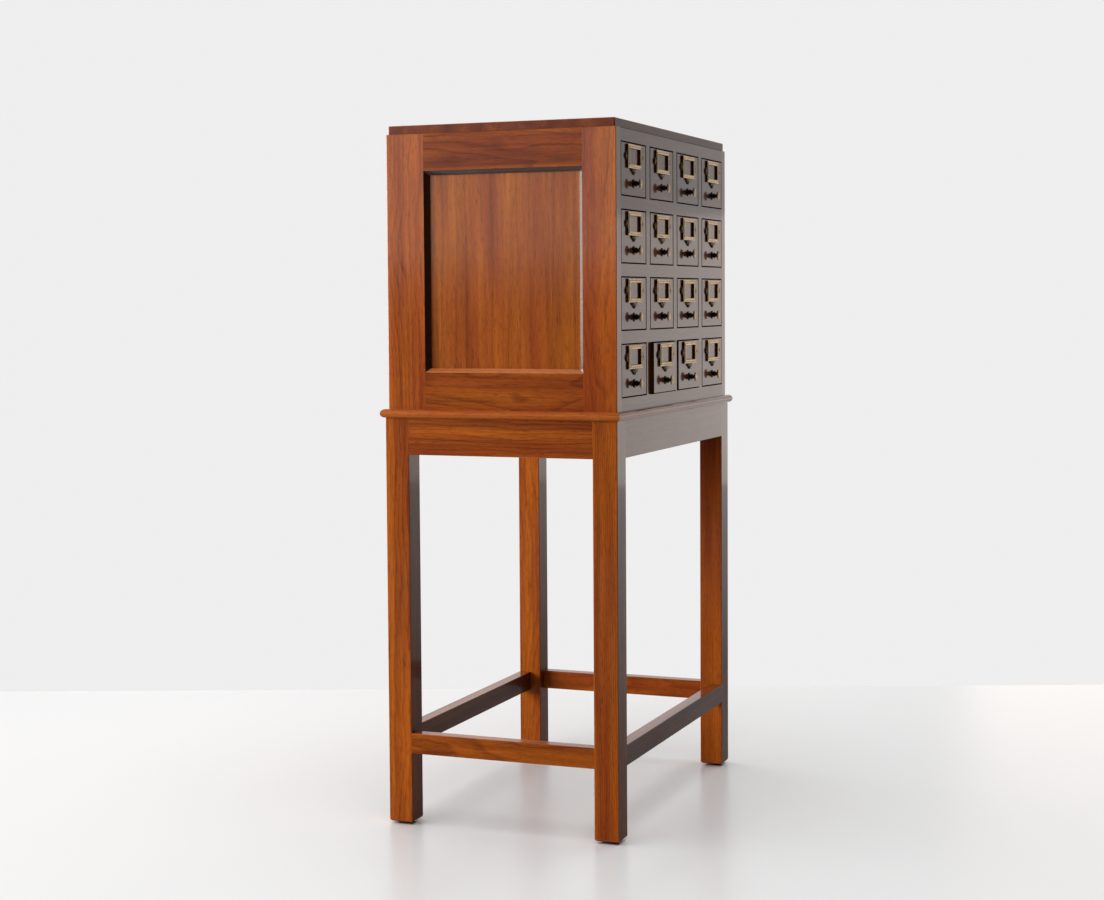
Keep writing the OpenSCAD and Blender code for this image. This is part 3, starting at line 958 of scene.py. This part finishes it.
def slotted_screw_head():
    """A round head with a cut slot, standing on the origin along +Z, in metres."""
    build = bmesh.new()
    halves = []
    for half in (1, -1):
        dome = []
        for degrees in DOME_RINGS:
            angle = math.radians(degrees)
            ring_r, ring_h = SCREW_R * math.cos(angle), SCREW_H * math.sin(angle)
            ring = []
            for step in range(DOME_STEPS + 1):
                turn = step * math.pi / DOME_STEPS
                x, y = ring_r * math.cos(turn), ring_r * math.sin(turn)
                ring.append(build.verts.new((x, half * max(y, SLOT_HALF), ring_h)))
            dome.append(ring)
        for low, high in zip(dome, dome[1:]):
            for i in range(DOME_STEPS):
                build.faces.new((low[i], low[i + 1], high[i + 1], high[i]))
        build.faces.new(dome[-1])
        halves.append(dome)
    # The slot's walls, and then its floor and ends.
    walls = []
    for dome in halves:
        edge = [ring[-1] for ring in dome] + [ring[0] for ring in reversed(dome)]
        wall_y = SLOT_HALF if dome[0][0].co.y > 0 else -SLOT_HALF
        low = []
        for vertex in edge:
            floor_z = min(vertex.co.z, SCREW_H - SLOT_DEEP)
            low.append(build.verts.new((vertex.co.x, wall_y, floor_z)))
        for i in range(len(edge) - 1):
            build.faces.new((edge[i], edge[i + 1], low[i + 1], low[i]))
        walls.append(low)
    near, far = walls
    for i in range(len(near) - 1):
        build.faces.new((near[i], near[i + 1], far[i + 1], far[i]))
    bmesh.ops.remove_doubles(build, verts=build.verts, dist=0.001)
    base = {v for v in build.verts if abs(v.co.z) < TINY}
    build.faces.new(sorted(base, key=lambda v: math.atan2(v.co.y, v.co.x)))
    bmesh.ops.dissolve_degenerate(build, dist=0.001, edges=build.edges)
    bmesh.ops.recalc_face_normals(build, faces=build.faces)
    bmesh.ops.scale(build, vec=(MM, MM, MM), verts=build.verts)

    def patina_and_shade(point):
        in_slot = abs(point.y) < 0.35 * MM and point.z < 1.1 * MM
        return 1.0 if in_slot else 0.2

    mark_patina_and_shade(build, patina_and_shade)
    return build


def screw_setting_tree():
    """Geometry nodes that put one screw head on every point, turned at random."""
    tree = bpy.data.node_groups.new("screw_setting", "GeometryNodeTree")
    for name, way, kind, usual in (
        ("Places", "INPUT", "NodeSocketGeometry", None),
        ("Screw head", "INPUT", "NodeSocketObject", None),
        ("Head size", "INPUT", "NodeSocketFloat", 1.0),
        ("Turn seed", "INPUT", "NodeSocketInt", 1),
        ("Metal", "INPUT", "NodeSocketMaterial", None),
        ("Screws", "OUTPUT", "NodeSocketGeometry", None),
    ):
        socket = tree.interface.new_socket(name, in_out=way, socket_type=kind)
        if usual is not None:
            socket.default_value = usual
    given = add(tree, "NodeGroupInput")
    head = add(tree, "GeometryNodeObjectInfo", {"Object": given.outputs["Screw head"]})
    turn = add(
        tree,
        "FunctionNodeRandomValue",
        {"Min": (0.0, 0.0, 0.0), "Max": (0.0, 0.0, math.pi)},
        data_type="FLOAT_VECTOR",
    )
    tree.links.new(given.outputs["Turn seed"], turn.inputs["Seed"])
    upright = add(tree, "FunctionNodeRotateRotation", rotation_space="LOCAL")
    upright.inputs["Rotation"].default_value = (math.pi / 2, 0.0, 0.0)
    tree.links.new(turn.outputs["Value"], upright.inputs["Rotate By"])
    points = add(tree, "GeometryNodeMeshToPoints", {"Mesh": given.outputs["Places"]})
    setting = add(
        tree,
        "GeometryNodeInstanceOnPoints",
        {
            "Points": points.outputs[0],
            "Instance": head.outputs["Geometry"],
            "Rotation": upright.outputs[0],
            "Scale": given.outputs["Head size"],
        },
    )
    real = add(tree, "GeometryNodeRealizeInstances", {"Geometry": setting.outputs[0]})
    finish = add(
        tree,
        "GeometryNodeSetMaterial",
        {"Geometry": real.outputs[0], "Material": given.outputs["Metal"]},
    )
    add(tree, "NodeGroupOutput", {"Screws": finish.outputs[0]})
    return tree


def run_tree(name, places, tree, values):
    """Runs a geometry tree on a set of points and keeps its result as a plain mesh."""
    mesh = bpy.data.meshes.new(name + "_places")
    mesh.from_pydata(places, [], [])
    holder = bpy.data.objects.new(name + "_holder", mesh)
    bpy.context.scene.collection.objects.link(holder)
    modifier = holder.modifiers.new("tree", "NODES")
    modifier.node_group = tree
    items = tree.interface.items_tree
    sockets = {item.name: item.identifier for item in items if item.in_out == "INPUT"}
    for key, value in values.items():
        modifier[sockets[key]] = value
    graph = bpy.context.evaluated_depsgraph_get()
    result = bpy.data.meshes.new_from_object(holder.evaluated_get(graph))
    bpy.data.objects.remove(holder)
    bpy.data.meshes.remove(mesh)
    result.name = name
    piece = bpy.data.objects.new(name, result)
    bpy.context.scene.collection.objects.link(piece)
    return piece


def moved_copy(pattern, name, matrix):
    """A brass copy of a pattern bmesh in its place, smooth except at its sharp edges."""
    build = pattern.copy()
    bmesh.ops.transform(build, matrix=matrix, verts=build.verts)
    for edge in build.edges:
        edge.smooth = edge.is_manifold and edge.calc_face_angle(0.0) < SMOOTH_ANGLE
    return object_from(build, name, [BRASS], smooth=True)


def build_fittings():
    frame_pattern, knob_pattern = label_frame(), turned_knob()
    head = object_from(slotted_screw_head(), "screw_head_pattern", [BRASS])
    tree = screw_setting_tree()
    outward = Matrix.Rotation(math.pi / 2, 4, "X")
    for row in range(1, ROWS + 1):
        for column in range(1, COLUMNS + 1):
            tag = f"r{row}c{column}"
            node = "brass_fittings_" + tag
            low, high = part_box(node)
            origin = Vector(((low.x + high.x) / 2, high.y, high.z - LABEL_TOP * MM))
            window = origin + Vector((0.0, 0.0, (LABEL_TOP - LABEL_H / 2) * MM))
            knob_foot = origin + Vector((0.0, 0.0, KNOB_UP * MM))
            screw_y = -(EAR_T + SCREW_PROUD) * MM
            screws = [window + Vector((x * MM, screw_y, z * MM)) for x, z in LABEL_SCREWS]
            values = {
                "Screw head": head,
                "Head size": 1.0,
                "Turn seed": 10 * row + column,
                "Metal": BRASS,
            }
            knob_place = Matrix.Translation(knob_foot) @ outward
            made = (
                moved_copy(frame_pattern, "label_frame_" + tag, Matrix.Translation(window)),
                moved_copy(knob_pattern, "knob_" + tag, knob_place),
                run_tree("label_screws_" + tag, screws, tree, values),
            )
            for piece in made:
                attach(piece, "drawer_" + tag)
                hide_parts(node)
    bpy.data.objects.remove(head)
    frame_pattern.free()
    knob_pattern.free()


# ---------------------------------------------------------------- the studio


def flat_panel(name, width, height, matrix, material):
    mesh = bpy.data.meshes.new(name)
    x, y = width / 2, height / 2
    mesh.from_pydata([(-x, -y, 0), (x, -y, 0), (x, y, 0), (-x, y, 0)], [], [(0, 1, 2, 3)])
    mesh.transform(matrix)
    panel = bpy.data.objects.new(name, mesh)
    bpy.context.scene.collection.objects.link(panel)
    mesh.materials.append(material)
    return panel


def facing(place, target):
    """The matrix of a panel or light at place whose -Z looks at target."""
    turn = (Vector(target) - Vector(place)).to_track_quat("-Z", "Y")
    return Matrix.Translation(place) @ turn.to_matrix().to_4x4()


def softbox(name, place, target, width, height, power, colour=(1.0, 1.0, 1.0)):
    light = bpy.data.lights.new(name, "AREA")
    light.shape = "RECTANGLE"
    light.size, light.size_y = width, height
    light.energy = power
    light.color = colour
    lamp = bpy.data.objects.new(name, light)
    lamp.matrix_world = facing(place, target)
    lamp.visible_camera = False
    bpy.context.scene.collection.objects.link(lamp)
    return lamp


CARD_BLACK = (0.02, 0.02, 0.02, 1.0)


def black_card(name, place, target, width, height):
    """A dark card outside the view that keeps light off one side of the cabinet."""
    material, tree = new_material(name)
    set_surface(tree, "ShaderNodeBsdfDiffuse", {"Color": CARD_BLACK})
    card = flat_panel(name, width, height, facing(place, target), material)
    card.visible_camera = False
    return card


CAMERA_PLACE = (-3.6456, -1.4013, 0.9774)
CAMERA_YAW, CAMERA_PITCH, CAMERA_ROLL = 68.469, 3.168, -0.364
CAMERA_LENS = 64.6
CAMERA_SHIFT_UP = -0.0362


def build_camera():
    yaw, pitch, roll = (math.radians(a) for a in (CAMERA_YAW, CAMERA_PITCH, CAMERA_ROLL))
    level = math.cos(pitch)
    forward = Vector((math.sin(yaw) * level, math.cos(yaw) * level, -math.sin(pitch)))
    right = forward.cross(Vector((0, 0, 1))).normalized()
    up = right.cross(forward)
    right_r = right * math.cos(roll) + up * math.sin(roll)
    up_r = up * math.cos(roll) - right * math.sin(roll)
    data = bpy.data.cameras.new("camera")
    data.sensor_width = 36.0
    data.lens = CAMERA_LENS
    data.shift_y = CAMERA_SHIFT_UP
    camera = bpy.data.objects.new("camera", data)
    turn = Matrix((right_r, up_r, -forward)).transposed().to_4x4()
    camera.matrix_world = Matrix.Translation(CAMERA_PLACE) @ turn
    bpy.context.scene.collection.objects.link(camera)
    bpy.context.scene.camera = camera


# The floor ends a little behind the cabinet, square to the view.
FLOOR_SIZE, FLOOR_BEHIND = 24.0, 1.05
ROOM_LIGHT = 0.86

# Each light's place, what it faces, its width and height, its power and its colour.
WARM_WHITE, COOL_WHITE = (1.0, 0.98, 0.95), (1.0, 0.98, 0.96)
WINDOW_ROW = ((-1.9, 3.2, 1.7), (-1.0, 0.0, 1.0), 3.6, 2.0, 375.0, WARM_WHITE)
FAR_WINDOW = ((2.2, 2.9, 1.3), (0.0, 0.0, 1.0), 1.4, 1.8, 90.0)
SKY_WINDOW = ((-4.4, 1.9, 2.3), (0.0, 0.0, 1.0), 3.0, 2.4, 46.0, COOL_WHITE)
WALL_GLOW = ((4.6, -2.1, 0.75), (0.0, 0.0, 0.8), 5.0, 1.2, 15.6, (1.0, 0.83, 0.73))
UPPER_GLOW = ((4.6, -2.1, 1.9), (0.0, 0.0, 1.95), 5.0, 1.1, 2.3, (1.0, 0.80, 0.68))
OVERHEAD = ((-0.8, 0.3, 4.2), (-0.8, 0.3, 0.0), 5.0, 5.0, 130.0)

# Each black card's place, what it faces, and its width and height.
FRONT_CARD = ((-2.4, -2.4, 2.2), (-2.4, 0.0, 2.2), 11.0, 4.4)
LOW_CARD = ((-4.2, 1.6, 0.5), (0.0, 0.0, 0.5), 6.0, 1.0)
REAR_CARD = ((-6.0, -2.4, 2.2), (0.0, -2.4, 2.2), 7.0, 4.4)


def build_studio():
    turn = Matrix.Rotation(math.radians(-CAMERA_YAW), 4, "Z")
    far_edge = Matrix.Translation((0.0, FLOOR_BEHIND - FLOOR_SIZE / 2, 0.0))
    floor = flat_panel("floor", FLOOR_SIZE, FLOOR_SIZE, turn @ far_edge, studio_floor())
    window_row = softbox("window_row", *WINDOW_ROW)
    far_window = softbox("far_window", *FAR_WINDOW)
    sky_window = softbox("sky_window", *SKY_WINDOW)
    sky_window.visible_diffuse = False
    softbox("wall_glow", *WALL_GLOW)
    softbox("upper_glow", *UPPER_GLOW)
    overhead = softbox("overhead", *OVERHEAD)
    black_card("front_card", *FRONT_CARD)
    black_card("low_card", *LOW_CARD)
    black_card("rear_card", *REAR_CARD)
    # The windows light the cabinet and not the floor, which has a light of its own.
    kept_off_floor = bpy.data.collections.new("kept_off_floor")
    kept_off_floor.objects.link(floor)
    kept_off_floor.collection_objects[0].light_linking.link_state = "EXCLUDE"
    for window in (window_row, far_window, sky_window):
        window.light_linking.receiver_collection = kept_off_floor
    floor_only = bpy.data.collections.new("floor_only")
    floor_only.objects.link(floor)
    overhead.light_linking.receiver_collection = floor_only
    world = bpy.data.worlds.new("studio")
    world.use_nodes = True
    background = world.node_tree.nodes["Background"]
    background.inputs["Color"].default_value = (1.0, 1.0, 1.0, 1.0)
    background.inputs["Strength"].default_value = ROOM_LIGHT
    bpy.context.scene.world = world
    bpy.context.scene.view_settings.view_transform = "Standard"


build_stand()
build_case()
glide_pads()
for drawer_row in range(1, ROWS + 1):
    for drawer_column in range(1, COLUMNS + 1):
        build_drawer(drawer_row, drawer_column)
build_fittings()
build_studio()
build_camera()
